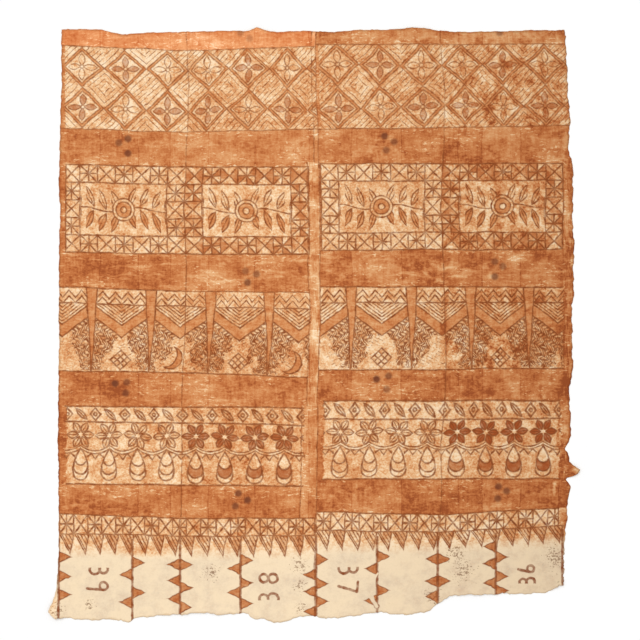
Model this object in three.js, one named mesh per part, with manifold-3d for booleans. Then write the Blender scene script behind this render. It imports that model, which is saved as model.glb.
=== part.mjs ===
// Painted bark cloth (tapa) lying face up on a flat surface.
// It is one felted sheet with a torn, uneven outline. Soft lengthwise creases are left from storage,
// the sheet cockles a little, and the hem, a tuck and a few torn corners stand off the surface.
// Millimetres. X runs across the cloth, Y towards its top edge, Z up. The origin is under its middle.

import * as THREE from 'three';
import { mergeVertices } from 'three/addons/utils/BufferGeometryUtils.js';
import Module from 'manifold-3d';

const wasm = await Module();
wasm.setup();

// Driving dimensions of the sheet before its edges tore
const sectionWidth = 508; // one printed section of the design
const sectionCount = 4;
const clothWidth = sectionWidth * sectionCount;
const clothLength = 2340;
const thickness = 1.6; // two layers of beaten bark, pasted into one

// Sampling of the torn edge and of the creased sheet
const edgeStep = 19;
const raggedness = 1.5; // fine roughness of a torn edge
const sheetMargin = 80; // creased sheet reaches past the outline before it is trimmed
const acrossStep = 150; // even grid lines, where no fold needs closer ones
const alongStep = 115;
const finestStep = 14;
const clearShare = 1 / 4; // an even line this near to a fold, as a share of its step, is left out
const trimHeight = 60; // outline is extruded this far, through the sheet and its folds

// Each side is a table, read clockwise from the top left corner.
// along: distance from where the side starts. out: how far the edge lies outside the straight cut.
const topEdge = [
  { along: 0, out: 4 },
  { along: 70, out: 8 },
  { along: 160, out: 4 },
  { along: 240, out: -12 },
  { along: 350, out: -7 },
  { along: 500, out: -4 },
  { along: 650, out: 0 },
  { along: 750, out: 1 },
  { along: 790, out: 13 },
  { along: 850, out: -4 },
  { along: 960, out: 0 },
  { along: 1085, out: -4 },
  { along: 1200, out: 4 },
  { along: 1340, out: 6 },
  { along: 1430, out: 13 },
  { along: 1520, out: 0 },
  { along: 1640, out: -4 },
  { along: 1800, out: 0 },
  { along: 1930, out: 3 },
];
const rightEdge = [
  { along: 0, out: -20 },
  { along: 50, out: -12 },
  { along: 140, out: -8 },
  { along: 340, out: 3 },
  { along: 490, out: 2 },
  { along: 535, out: 16 },
  { along: 700, out: 16 },
  { along: 880, out: 20 },
  { along: 1060, out: 19 },
  { along: 1120, out: 12 },
  { along: 1330, out: 16 },
  { along: 1420, out: 4 },
  { along: 1590, out: 8 },
  { along: 1640, out: 3 },
  { along: 1667, out: -17 }, // torn bite
  { along: 1695, out: 0 },
  { along: 1727, out: 7 },
  { along: 1752, out: 41 }, // torn tab
  { along: 1772, out: 33 },
  { along: 1790, out: -9 }, // bite under the tab
  { along: 1812, out: 4 },
  { along: 1838, out: 6 },
  { along: 1880, out: -8 },
  { along: 1950, out: -5 },
  { along: 2030, out: -16 },
  { along: 2130, out: -20 },
  { along: 2212, out: -19 },
];
const bottomEdge = [
  { along: 52, out: -106 },
  { along: 100, out: -93 },
  { along: 250, out: -92 },
  { along: 400, out: -87 },
  { along: 480, out: -80 },
  { along: 530, out: -46 },
  { along: 565, out: -20 },
  { along: 660, out: -8 },
  { along: 760, out: -17 },
  { along: 860, out: -4 },
  { along: 950, out: 8 },
  { along: 1040, out: -4 },
  { along: 1110, out: 13 },
  { along: 1160, out: 24 },
  { along: 1215, out: 8 },
  { along: 1255, out: 9 },
  { along: 1300, out: -14 },
  { along: 1400, out: -8 },
  { along: 1480, out: -15 },
  { along: 1620, out: -4 },
  { along: 1730, out: 3 },
  { along: 1760, out: 24 },
  { along: 1810, out: 13 },
  { along: 1920, out: 12 },
  { along: 1985, out: 5 },
];
const leftEdge = [
  { along: 0, out: 20 },
  { along: 30, out: 44 }, // corner of the under layer
  { along: 75, out: 26 },
  { along: 130, out: 14 },
  { along: 210, out: 7 },
  { along: 480, out: 5 },
  { along: 740, out: 8 },
  { along: 1080, out: 4 },
  { along: 1420, out: 4 },
  { along: 1600, out: 0 },
  { along: 1750, out: 4 },
  { along: 1920, out: 0 },
  { along: 2060, out: -4 },
  { along: 2210, out: -7 },
  { along: 2290, out: -5 },
];

// Creases run along the cloth: most are from storage, and a short one is a tuck.
// x: place across the cloth. height: how far the ridge stands up. halfWidth: crest to foot.
// fadeTop, fadeBottom: Y where the ridge has died away at each end.
const creases = [
  { x: -762, height: 1.4, halfWidth: 24, fadeTop: 1100, fadeBottom: -700 },
  { x: -524, height: 2.6, halfWidth: 30, fadeTop: 1260, fadeBottom: -1260 },
  { x: -256, height: 1.6, halfWidth: 26, fadeTop: 1000, fadeBottom: -1180 },
  { x: 16, height: 3.2, halfWidth: 32, fadeTop: 1260, fadeBottom: -1260 },
  { x: 244, height: 6, halfWidth: 26, fadeTop: -1000, fadeBottom: -1220 }, // tuck in the hem
  { x: 372, height: 1.5, halfWidth: 26, fadeTop: 1150, fadeBottom: -860 },
  { x: 520, height: 2.8, halfWidth: 30, fadeTop: 1260, fadeBottom: -1260 },
  { x: 770, height: 1.6, halfWidth: 26, fadeTop: 900, fadeBottom: -1150 },
];

// Edges that stand off the surface, as rounded bumps.
// turn: angle of the long axis from X, in degrees. halfLong, halfWide: reach of the bump.
const lifts = [
  { x: -1040, y: -1150, turn: 115, halfLong: 110, halfWide: 55, height: 9 }, // under layer's corner
  { x: -470, y: -1175, turn: 0, halfLong: 230, halfWide: 60, height: 5 }, // hem, left
  { x: 640, y: -1095, turn: 0, halfLong: 260, halfWide: 60, height: 6 }, // hem, right
  { x: 1000, y: -1075, turn: 130, halfLong: 120, halfWide: 60, height: 8 }, // lower right corner
  { x: 1048, y: -585, turn: 90, halfLong: 70, halfWide: 50, height: 8 }, // torn tab
  { x: -215, y: 1180, turn: 0, halfLong: 130, halfWide: 55, height: 4 }, // top edge, left of middle
  { x: 410, y: 1180, turn: 0, halfLong: 170, halfWide: 55, height: 4 }, // top edge, right of middle
];

// Cockling: broad low waves, kept only where they stand above the surface
const cockle = { height: 1.3, across: 640, along: 730, shift: 0.7, floor: 0.45 };

// A ridge swells and sinks along its length by this share of its height.
const swell = { share: 0.25, along: 1190 };

// Fraying of a torn edge: two waves along it, each with a share of the raggedness
const frays = [
  { share: 0.6, along: 69, shift: 0 },
  { share: 0.4, along: 170, shift: 1.3 },
];

// Place on a wave of a given length, from -1 to 1
function waveAt(distance, length, shift) {
  return Math.sin((distance / length) * 2 * Math.PI + shift);
}

// Outline

function raggedAt(distance) {
  const parts = frays.map(({ share, along, shift }) => share * waveAt(distance, along, shift));
  return raggedness * parts.reduce((sum, part) => sum + part, 0);
}

// Points of one side: start is its first corner, angle the direction in which it runs.
function sidePoints(table, start, angle) {
  const run = new THREE.Vector2(Math.cos(angle), Math.sin(angle));
  const outward = new THREE.Vector2(-run.y, run.x);
  const place = (along, out) => start.clone().addScaledVector(run, along).addScaledVector(outward, out);
  const curve = new THREE.SplineCurve(table.map(({ along, out }) => place(along, out)));
  const points = curve.getSpacedPoints(Math.round(curve.getLength() / edgeStep));
  return points.map((point, i) => point.addScaledVector(outward, raggedAt(i * edgeStep)));
}

function outlineShape() {
  const halfWidth = clothWidth / 2;
  const halfLength = clothLength / 2;
  return new THREE.Shape([
    ...sidePoints(topEdge, new THREE.Vector2(-halfWidth, halfLength), 0),
    ...sidePoints(rightEdge, new THREE.Vector2(halfWidth, halfLength), -Math.PI / 2),
    ...sidePoints(bottomEdge, new THREE.Vector2(halfWidth, -halfLength), Math.PI),
    ...sidePoints(leftEdge, new THREE.Vector2(-halfWidth, -halfLength), Math.PI / 2),
  ]);
}

// Height of the sheet's underside above the surface

// 1 at the middle of a bump, 0 from its rim outwards.
function roundedBump(share) {
  return share >= 1 ? 0 : Math.cos((share * Math.PI) / 2) ** 2;
}

function creaseHeight({ x, height, halfWidth, fadeTop, fadeBottom }, px, py) {
  const middle = (fadeTop + fadeBottom) / 2;
  const reach = (fadeTop - fadeBottom) / 2;
  const uneven = 1 - swell.share + swell.share * waveAt(py, swell.along, x);
  const fade = roundedBump(Math.abs(py - middle) / reach);
  return height * uneven * fade * roundedBump(Math.abs(px - x) / halfWidth);
}

function liftHeight({ x, y, turn, halfLong, halfWide, height }, px, py) {
  const angle = THREE.MathUtils.degToRad(turn);
  const long = ((px - x) * Math.cos(angle) + (py - y) * Math.sin(angle)) / halfLong;
  const wide = ((py - y) * Math.cos(angle) - (px - x) * Math.sin(angle)) / halfWide;
  return height * roundedBump(Math.hypot(long, wide));
}

function cockleHeight(px, py) {
  const wave = waveAt(px, cockle.across, cockle.shift) * waveAt(py, cockle.along, 0);
  return cockle.height * Math.max(0, wave - cockle.floor);
}

function undersideHeight(px, py) {
  const creased = creases.reduce((sum, crease) => sum + creaseHeight(crease, px, py), 0);
  const lifted = lifts.reduce((sum, lift) => sum + liftHeight(lift, px, py), 0);
  return creased + lifted + cockleHeight(px, py);
}

// Creased sheet

// Even lines over a span, with closer ones where folds need them.
function gridLines(span, step, foldLines) {
  const half = span / 2 + sheetMargin;
  const count = Math.ceil((2 * half) / step);
  const evenLines = Array.from({ length: count + 1 }, (_, i) => -half + (2 * half * i) / count);
  const inside = foldLines.filter((line) => Math.abs(line) < half - finestStep).sort((a, b) => a - b);
  const folds = inside.filter((line, i) => i === 0 || line - inside[i - 1] > finestStep);
  const isClear = (line) => folds.every((fold) => Math.abs(line - fold) > step * clearShare);
  const clear = evenLines.filter((line, i) => i === 0 || i === count || isClear(line));
  return [...clear, ...folds].sort((a, b) => a - b);
}

function creasedSheet() {
  const creaseLines = creases.flatMap(({ x, halfWidth }) => [x - halfWidth, x, x + halfWidth]);
  const liftLinesAcross = lifts.flatMap(({ x, halfWide }) => [x, x + halfWide]);
  const liftLinesAlong = lifts.flatMap(({ y, halfWide }) => [y - halfWide, y, y + halfWide]);
  const acrossLines = gridLines(clothWidth, acrossStep, [...creaseLines, ...liftLinesAcross]);
  const alongLines = gridLines(clothLength, alongStep, liftLinesAlong);
  const sheet = new THREE.BoxGeometry(1, 1, 1, acrossLines.length - 1, alongLines.length - 1, 1);
  const position = sheet.getAttribute('position');
  const lineAt = (lines, share) => lines[Math.round((share + 0.5) * (lines.length - 1))];
  for (let i = 0; i < position.count; i++) {
    const x = lineAt(acrossLines, position.getX(i));
    const y = lineAt(alongLines, position.getY(i));
    const top = position.getZ(i) > 0 ? thickness : 0;
    position.setXYZ(i, x, y, undersideHeight(x, y) + top);
  }
  return sheet;
}

// Trimming the sheet to its outline

function toSolid(geometry) {
  geometry.deleteAttribute('normal');
  geometry.deleteAttribute('uv');
  const merged = mergeVertices(geometry);
  const vertProperties = merged.getAttribute('position').array;
  const triVerts = new Uint32Array(merged.index.array);
  return new wasm.Manifold(new wasm.Mesh({ numProp: 3, vertProperties, triVerts }));
}

function toGeometry(solid) {
  const { vertProperties, triVerts } = solid.getMesh();
  const geometry = new THREE.BufferGeometry();
  geometry.setAttribute('position', new THREE.BufferAttribute(new Float32Array(vertProperties), 3));
  geometry.setIndex(new THREE.BufferAttribute(new Uint32Array(triVerts), 1));
  geometry.computeVertexNormals();
  return geometry;
}

function trimmedCloth() {
  const trim = new THREE.ExtrudeGeometry(outlineShape(), { depth: trimHeight, bevelEnabled: false });
  trim.translate(0, 0, -trimHeight / 2);
  return toGeometry(toSolid(creasedSheet()).intersect(toSolid(trim)));
}

// The part

const barkDye = new THREE.MeshStandardMaterial({ color: 0xcb8a58, roughness: 0.95, metalness: 0 });
const cloth = new THREE.Mesh(trimmedCloth(), barkDye);
cloth.name = 'bark_cloth';
const middle = new THREE.Box3().setFromObject(cloth).getCenter(new THREE.Vector3());
cloth.position.set(-middle.x, -middle.y, 0);

const tapa = new THREE.Group();
tapa.add(cloth);

export default tapa;
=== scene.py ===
import math
import bpy
import numpy as np
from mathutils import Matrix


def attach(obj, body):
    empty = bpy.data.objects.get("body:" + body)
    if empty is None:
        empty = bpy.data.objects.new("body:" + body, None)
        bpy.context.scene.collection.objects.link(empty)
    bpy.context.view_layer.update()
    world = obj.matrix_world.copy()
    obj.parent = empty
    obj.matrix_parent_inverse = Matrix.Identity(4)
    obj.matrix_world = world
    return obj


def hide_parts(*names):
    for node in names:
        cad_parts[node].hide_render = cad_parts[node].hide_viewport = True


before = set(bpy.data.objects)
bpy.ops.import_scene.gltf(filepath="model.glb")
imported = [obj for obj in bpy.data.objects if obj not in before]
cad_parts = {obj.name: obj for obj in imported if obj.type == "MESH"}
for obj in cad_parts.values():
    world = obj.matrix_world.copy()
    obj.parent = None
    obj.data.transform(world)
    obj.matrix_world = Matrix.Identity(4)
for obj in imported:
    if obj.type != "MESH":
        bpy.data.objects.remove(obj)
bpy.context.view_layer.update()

# Sizes are millimetres in the tables and in the shader maths, and metres on the meshes.
milli = 0.001

# The sheet: its size before the edges tore, and how closely the mesh follows edges and creases
sheet = {
    "width": 2032,
    "length": 2340,
    "thickness": 1.6,
    "edgeReach": 260,  # an edge's wandering dies away inwards over this
    "roughness": {"left": 1.2, "right": 2.0, "top": 0.9, "bottom": 1.9},
    "splineSteps": 12,
    "wideStep": 13,
    "edgeStep": 5,
    "creaseStep": 7.5,
    "tabStep": 6.5,
    "tab": (-660, -500),  # y of the torn tab and bites in the right edge
    "edgeZone": 30,
}

# along the side clockwise from the top left corner, then how far out of the straight cut the edge lies
topEdge = [
    (0, 4), (70, 8), (160, 4), (240, -12), (350, -7), (500, -4), (650, 0), (750, 1), (790, 13), (850, -4),
    (960, 0), (1085, -4), (1200, 4), (1340, 6), (1430, 13), (1520, 0), (1640, -4), (1800, 0), (1930, 3),
]
rightEdge = [
    (0, -20), (50, -12), (140, -8), (340, 3), (490, 2), (535, 16), (700, 16), (880, 20), (1060, 19),
    (1120, 12), (1330, 16), (1420, 4), (1590, 8), (1640, 3), (1667, -17), (1695, 0), (1727, 7), (1752, 41),
    (1772, 33), (1790, -9), (1812, 4), (1838, 6), (1880, -8), (1950, -5), (2030, -16), (2130, -20),
    (2212, -19),
]
bottomEdge = [
    (19, -128), (52, -106), (100, -93), (250, -92), (400, -87), (480, -80), (530, -46), (565, -20), (660, -8),
    (760, -17), (860, -4), (950, 8), (1040, -4), (1110, 13), (1160, 24), (1215, 8), (1255, 9), (1300, -14),
    (1400, -8), (1480, -15), (1620, -4), (1730, 3), (1760, 24), (1810, 13), (1920, 12), (1985, 5),
]
leftEdge = [
    (0, 20), (30, 44), (75, 26), (130, 14), (210, 7), (480, 5), (740, 8), (1080, 4), (1420, 4), (1600, 0),
    (1750, 4), (1920, 0), (2060, -4), (2210, -7), (2290, -5),
]

# share of the roughness, wavelength, shift
frays = [(1.0, 69, 0.0), (0.7, 170, 1.3), (0.8, 23, 0.4), (0.6, 13.7, 2.1)]

# x, height, half width, y where it has died away at the top and at the bottom
creases = [
    (-762, 1.4, 24, 1100, -700),
    (-524, 2.6, 30, 1260, -1260),
    (-256, 1.6, 26, 1000, -1180),
    (16, 3.2, 32, 1260, -1260),
    (244, 6.0, 26, -1000, -1220),  # tuck in the hem
    (372, 1.5, 26, 1150, -860),
    (520, 2.8, 30, 1260, -1260),
    (770, 1.6, 26, 900, -1150),
]
swell = {"share": 0.25, "along": 1190}  # a ridge swells and sinks along its length

# x, y, turn in degrees, half length, half width, height of an edge that stands off the floor
lifts = [
    (-1040, -1150, 115, 110, 55, 9),
    (-470, -1175, 0, 230, 60, 5),
    (640, -1095, 0, 260, 60, 6),
    (1000, -1075, 130, 120, 60, 8),
    (1048, -585, 90, 70, 50, 8),
    (-215, 1180, 0, 130, 55, 4),
    (410, 1180, 0, 170, 55, 4),
]
cockle = {"height": 1.3, "across": 640, "along": 730, "shift": 0.7, "floor": 0.45}

# The design lies unevenly on the cloth, as it was rubbed on in two widths.
# x of each upright line in the even design, then on the cloth at each of these heights
uprightHeights = (1152, 944, 744, 470, 220, -20, -252, -460, -692, -980)
uprights = {
    "beyondLeft": (-1214, -1207, -1208, -1209, -1211, -1212, -1214, -1216, -1217, -1218, -1220),
    "leftEdge": (-1014, -1007, -1008, -1009, -1011, -1012, -1014, -1016, -1017, -1018, -1020),
    "leftFold": (-520, -511, -501, -509, -521, -511, -515, -528, -529, -531, -537),
    "seam": (11, 5, 7, 15, 23, 23, 24, 13, 13, 9, 1),
    "rightFold": (505, 504, 520, 519, 507, 517, 524, 525, 508, 507, 493),
    "rightEdge": (1005,) * 11,
    "beyondRight": (1205,) * 11,
}
# y of each level line in the even design, then on the cloth at the left edge, where the left panels meet,
# left of the seam, right of the seam, where the right panels meet, and at the right edge
levels = {
    "beyondTop": (1300, 1300, 1295, 1300, 1302, 1302, 1302),
    "rowOneHead": (1112, 1117, 1097, 1114, 1122, 1122, 1122),
    "rowOneFoot": (781, 785, 771, 784, 781, 790, 797),
    "rowTwoHead": (645, 648, 638, 638, 652, 652, 652),
    "rowTwoFoot": (284, 286, 280, 278, 294, 297, 300),
    "rowThreeHead": (144, 152, 136, 129, 152, 152, 152),
    "rowThreeFoot": (-186, -181, -188, -211, -180, -176, -174),
    "rowFourHead": (-322, -324, -326, -332, -302, -300, -300),
    "rowFourStrip": (-386, -385, -391, -401, -376, -376, -374),
    "rowFourFoot": (-634, -632, -638, -643, -615, -614, -612),
    "squaresHead": (-760, -752, -773, -773, -747, -758, -728),
    "squaresFoot": (-836, -832, -842, -842, -820, -827, -800),
    "teethTips": (-914, -910, -920, -920, -898, -892, -866),
    "beyondFoot": (-1400,) * 7,
}
even = {name: row[0] for name, row in {**levels, **uprights}.items()}
leftOfDesign, seamOfDesign = even["leftEdge"], even["seam"]
panelWidth = 494
zoneLead = 12  # a zone of the design starts this far above its row
zoneHeads = [even[name] + zoneLead for name in ("rowTwoHead", "rowThreeHead", "rowFourHead", "squaresHead")]


# Outline, heights and place in the design


def splineOf(table):
    points = np.array([table[0]] + table + [table[-1]], float)
    share = np.linspace(0, 1, sheet["splineSteps"], endpoint=False)[:, None]
    runs = []
    for a, b, c, d in zip(points, points[1:], points[2:], points[3:]):
        bend = (2 * a - 5 * b + 4 * c - d) * share**2 + (3 * b - a - 3 * c + d) * share**3
        runs.append(0.5 * (2 * b + (c - a) * share + bend))
    curve = np.vstack(runs + [points[-1:]])
    return np.maximum.accumulate(curve[:, 0]), curve[:, 1]


def outAt(table, along, roughness):
    alongCurve, outCurve = splineOf(table)
    rough = sum(share * np.sin(along / length * 2 * np.pi + shift) for share, length, shift in frays)
    return np.interp(along, alongCurve, outCurve) + roughness * rough


def tornPlace(x, y):
    halfWidth, halfLength, reach = sheet["width"] / 2, sheet["length"] / 2, sheet["edgeReach"]
    rough = sheet["roughness"]
    near = lambda gap: np.clip(1 - gap / reach, 0, 1)
    left = outAt(leftEdge, y + halfLength, rough["left"]) * near(x + halfWidth)
    right = outAt(rightEdge, halfLength - y, rough["right"]) * near(halfWidth - x)
    top = outAt(topEdge, x + halfWidth, rough["top"]) * near(halfLength - y)
    bottom = outAt(bottomEdge, halfWidth - x, rough["bottom"]) * near(y + halfLength)
    return x + right - left, y + top - bottom


def roundedBump(share):
    return np.where(share < 1, np.cos(np.minimum(share, 1) * np.pi / 2) ** 2, 0)


def undersideHeight(x, y):
    height = np.zeros_like(x)
    for middle, rise, half, top, bottom in creases:
        uneven = 1 - swell["share"] + swell["share"] * np.sin(y / swell["along"] * 2 * np.pi + middle)
        fade = roundedBump(np.abs(y - (top + bottom) / 2) / ((top - bottom) / 2))
        height += rise * uneven * fade * roundedBump(np.abs(x - middle) / half)
    for midX, midY, turn, halfLong, halfWide, rise in lifts:
        c, s = math.cos(math.radians(turn)), math.sin(math.radians(turn))
        long = ((x - midX) * c + (y - midY) * s) / halfLong
        wide = ((y - midY) * c - (x - midX) * s) / halfWide
        height += rise * roundedBump(np.hypot(long, wide))
    acrossWave = np.sin(x / cockle["across"] * 2 * np.pi + cockle["shift"])
    alongWave = np.sin(y / cockle["along"] * 2 * np.pi)
    return height + cockle["height"] * np.maximum(0, acrossWave * alongWave - cockle["floor"])


def uprightAt(name, y):
    return np.interp(y, uprightHeights[::-1], uprights[name][:0:-1])


def designPlace(x, y, onRight):
    lines = [uprightAt(name, y) for name in uprights]
    evens = [even[name] for name in uprights]
    u = np.zeros_like(x)
    for evenA, evenB, a, b in zip(evens, evens[1:], lines, lines[1:]):
        inside = (x >= a) & (x < b)
        u = np.where(inside, evenA + (evenB - evenA) * (x - a) / (b - a), u)
    first, middle, last = [np.where(onRight, lines[i + 2], lines[i]) for i in (1, 2, 3)]
    heights = []
    for row in levels.values():
        a, b, c = [np.where(onRight, row[i + 3], row[i]) for i in (1, 2, 3)]
        near = a + (b - a) * (x - first) / (middle - first)
        far = b + (c - b) * (x - middle) / (last - middle)
        heights.append(np.where(x < middle, near, far))
    evens = [even[name] for name in levels]
    v = np.zeros_like(y)
    for evenA, evenB, a, b in zip(evens, evens[1:], heights, heights[1:]):
        v = np.where((y <= a) & (y > b), evenA + (evenB - evenA) * (y - a) / (b - a), v)
    return u, v


# Mesh of the sheet


def readAll(rows, key, width, kind=float):  # one property of all the vertices, corners or faces
    values = np.empty(len(rows) * width, kind)
    rows.foreach_get(key, values)
    return values.reshape(-1, width)


def closerLines(half, zones):
    places = [-half]
    while places[-1] < half:
        steps = [step for low, high, step in zones if low <= places[-1] <= high]
        places.append(places[-1] + min(steps + [sheet["wideStep"]]))
    places = np.array(places)
    return (places + half) * (2 * half / (places[-1] + half)) - half


def layGrid():
    halfWidth, halfLength, edge = sheet["width"] / 2, sheet["length"] / 2, sheet["edgeZone"]
    edges = lambda half: [(-half, edge - half, sheet["edgeStep"]), (half - edge, half, sheet["edgeStep"])]
    creaseShade = [(row[0] - row[2], row[0] + row[2], sheet["creaseStep"]) for row in creases]
    acrossLines = closerLines(halfWidth, edges(halfWidth) + creaseShade)
    alongLines = closerLines(halfLength, edges(halfLength) + [sheet["tab"] + (sheet["tabStep"],)])
    bpy.ops.object.select_all(action="DESELECT")
    bpy.ops.mesh.primitive_grid_add(
        x_subdivisions=len(acrossLines) - 1, y_subdivisions=len(alongLines) - 1, size=2, calc_uvs=True
    )
    cloth = bpy.context.active_object
    cloth.name = cloth.data.name = "tapaSheet"
    spread = (readAll(cloth.data.vertices, "co", 3) + 1) / 2
    column = np.rint(spread[:, 0] * (len(acrossLines) - 1)).astype(int)
    row = np.rint(spread[:, 1] * (len(alongLines) - 1)).astype(int)
    fromEdge = np.minimum(halfWidth - np.abs(acrossLines[column]), halfLength - np.abs(alongLines[row]))
    x, y = tornPlace(acrossLines[column], alongLines[row])
    height = undersideHeight(x, y) + sheet["thickness"]
    x -= (x.min() + x.max()) / 2  # the box of the cloth is centred, as in the frame
    y -= (y.min() + y.max()) / 2
    cloth.data.vertices.foreach_set("co", (np.column_stack([x, y, height]) * milli).ravel())
    cloth.data.update()
    corners = readAll(cloth.data.loops, "vertex_index", 1, int)
    rim = cloth.data.uv_layers.new(name="rim")  # holds the distance from the torn edge
    rim.data.foreach_set("uv", np.repeat(fromEdge[corners] * milli, 2))
    print("sheet laid,", len(acrossLines), "by", len(alongLines), "lines")
    return cloth


def printDesign(cloth):
    mesh = cloth.data
    corners = readAll(mesh.loops, "vertex_index", 1, int)[:, 0]
    x, y, _ = readAll(mesh.vertices, "co", 3)[corners].T / milli
    middleX, middleY, _ = readAll(mesh.polygons, "center", 3).T / milli
    faceRight = middleX > uprightAt("seam", middleY)
    cornersOfFace = readAll(mesh.polygons, "loop_total", 1, int)[:, 0]
    u, v = designPlace(x, y, np.repeat(faceRight, cornersOfFace))
    layer = mesh.uv_layers[0]
    layer.name = "design"
    layer.data.foreach_set("uv", (np.column_stack([u, v]) * milli).ravel())
    _, faceV = designPlace(middleX, middleY, faceRight)
    zone = sum((faceV < head).astype(int) for head in zoneHeads)
    mesh.polygons.foreach_set("material_index", zone.astype(np.int32))
    print("design laid on the sheet, faces in each zone", np.bincount(zone))


# Node building


class Mark:  # a value in the shader, on which plain arithmetic adds Math nodes
    def __init__(self, brush, socket):
        self.brush, self.socket = brush, socket

    def __rsub__(self, other):
        return self.brush.math("SUBTRACT", other, self)

    def __floordiv__(self, other):
        return self.brush.math("FLOOR", self / other)

    def __abs__(self):
        return self.brush.math("ABSOLUTE", self)

    def repeat(self, pitch):  # place in a pattern that repeats, from the middle of each repeat
        return self % pitch - pitch / 2


def operatorFor(kind):
    return lambda mark, other: mark.brush.math(kind, mark, other)


for name, kind in {
    "add": "ADD",
    "radd": "ADD",
    "sub": "SUBTRACT",
    "mul": "MULTIPLY",
    "rmul": "MULTIPLY",
    "truediv": "DIVIDE",
    "mod": "FLOORED_MODULO",
    "gt": "GREATER_THAN",
    "lt": "LESS_THAN",
    "or": "MAXIMUM",  # union of masks
    "and": "MULTIPLY",  # both masks
}.items():
    setattr(Mark, f"__{name}__", operatorFor(kind))


def nearest(least, *others):  # of several distances
    for other in others:
        least = least.brush.math("MINIMUM", least, other)
    return least


def clipped(most, *walls):  # a distance counts only where every wall is below nought
    for wall in walls:
        most = most | wall
    return most


def steep(value, gain, lift):  # between 0 and 1
    return value.brush.math("MULTIPLY_ADD", value, gain, lift, clamp=True)


def below(value, limit, soft):  # 1 where value is under the limit, with a soft edge
    return steep(value - limit, -1 / soft, 0.5)


def between(value, low, high, soft):
    return below(abs(value - (low + high) / 2), (high - low) / 2, soft)


def radius(x, y):
    return x.brush.math("SQRT", x * x + y * y)


class Brush:  # one material's nodes
    def __init__(self, name):
        self.material = bpy.data.materials.new(name)
        self.material.use_nodes = True
        self.tree = self.material.node_tree
        self.tree.nodes.clear()

    def node(self, kind, settings, sockets):
        made = self.tree.nodes.new(kind)
        for key, value in settings.items():
            if key == "stops":
                self.setStops(made.color_ramp, value)
            else:
                setattr(made, key, value)
        for key, value in sockets.items():
            if isinstance(value, Mark):
                value = value.socket
            if isinstance(value, bpy.types.NodeSocket):
                self.tree.links.new(value, made.inputs[key])
            else:
                made.inputs[key].default_value = value
        return made

    def setStops(self, ramp, stops):
        while len(ramp.elements) < len(stops):
            ramp.elements.new(1)
        for element, (place, colour) in zip(ramp.elements, stops):
            element.position = place
            element.color = colour

    def math(self, operation, *terms, clamp=False):
        settings = {"operation": operation, "use_clamp": clamp}
        return Mark(self, self.node("ShaderNodeMath", settings, dict(enumerate(terms))).outputs[0])

    def vector(self, operation, *terms, out="Vector"):
        made = self.node("ShaderNodeVectorMath", {"operation": operation}, dict(enumerate(terms)))
        return Mark(self, made.outputs[out])

    def noise(self, place, scale, detail=2.0, roughness=0.5, out="Fac"):
        sockets = {"Vector": place, "Scale": scale, "Detail": detail, "Roughness": roughness}
        return Mark(self, self.node("ShaderNodeTexNoise", {}, sockets).outputs[out])

    def mix(self, share, a, b, blend="MIX"):
        settings = {"data_type": "RGBA", "blend_type": blend}
        return Mark(self, self.node("ShaderNodeMix", settings, {0: share, 6: a, 7: b}).outputs[2])

    def tint(self, share, colour, by):
        return self.mix(share, colour, by, "MULTIPLY")

    def ramp(self, stops, place):
        return Mark(self, self.node("ShaderNodeValToRGB", {"stops": stops}, {"Fac": place}).outputs["Color"])

    def split(self, place):
        made = self.node("ShaderNodeSeparateXYZ", {}, {0: place})
        return Mark(self, made.outputs[0]), Mark(self, made.outputs[1])

    def segment(self, place, start, end):  # distance to a straight stroke
        runX, runY = end[0] - start[0], end[1] - start[1]
        square = runX**2 + runY**2
        offset = self.vector("SUBTRACT", place, (*start, 0))
        share = self.vector("DOT_PRODUCT", offset, (runX / square, runY / square, 0), out="Value")
        share = self.math("ADD", share, 0, clamp=True)
        offset = self.vector("MULTIPLY_ADD", share, (-runX, -runY, 0), offset)
        return self.vector("LENGTH", offset, out="Value")

    def distance(self, place, x, y):
        return self.vector("DISTANCE", place, (x, y, 0), out="Value")


def fromScreen(*levels):
    shares = [level / 255 for level in levels]
    straight = [c / 12.92 if c <= 0.04045 else ((c + 0.055) / 1.055) ** 2.4 for c in shares]
    return (*straight, 1.0)


# Dyes from the photograph, as they show on a screen
dyes = {
    "bareBark": (255, 227, 191),
    "cream": (248, 208, 162),
    "tan": (231, 173, 120),
    "rust": (211, 136, 82),
    "deepRust": (190, 108, 58),
    "burntRust": (160, 82, 42),
    "line": (140, 72, 34),
    "dot": (122, 66, 42),
    "fill": (170, 84, 40),
    "border": (244, 221, 186),
    "cloud": (226, 207, 180),
    "dirt": (124, 80, 48),
    "backBark": (226, 196, 156),
}
dyes = {name: fromScreen(*levels) for name, levels in dyes.items()}


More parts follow.
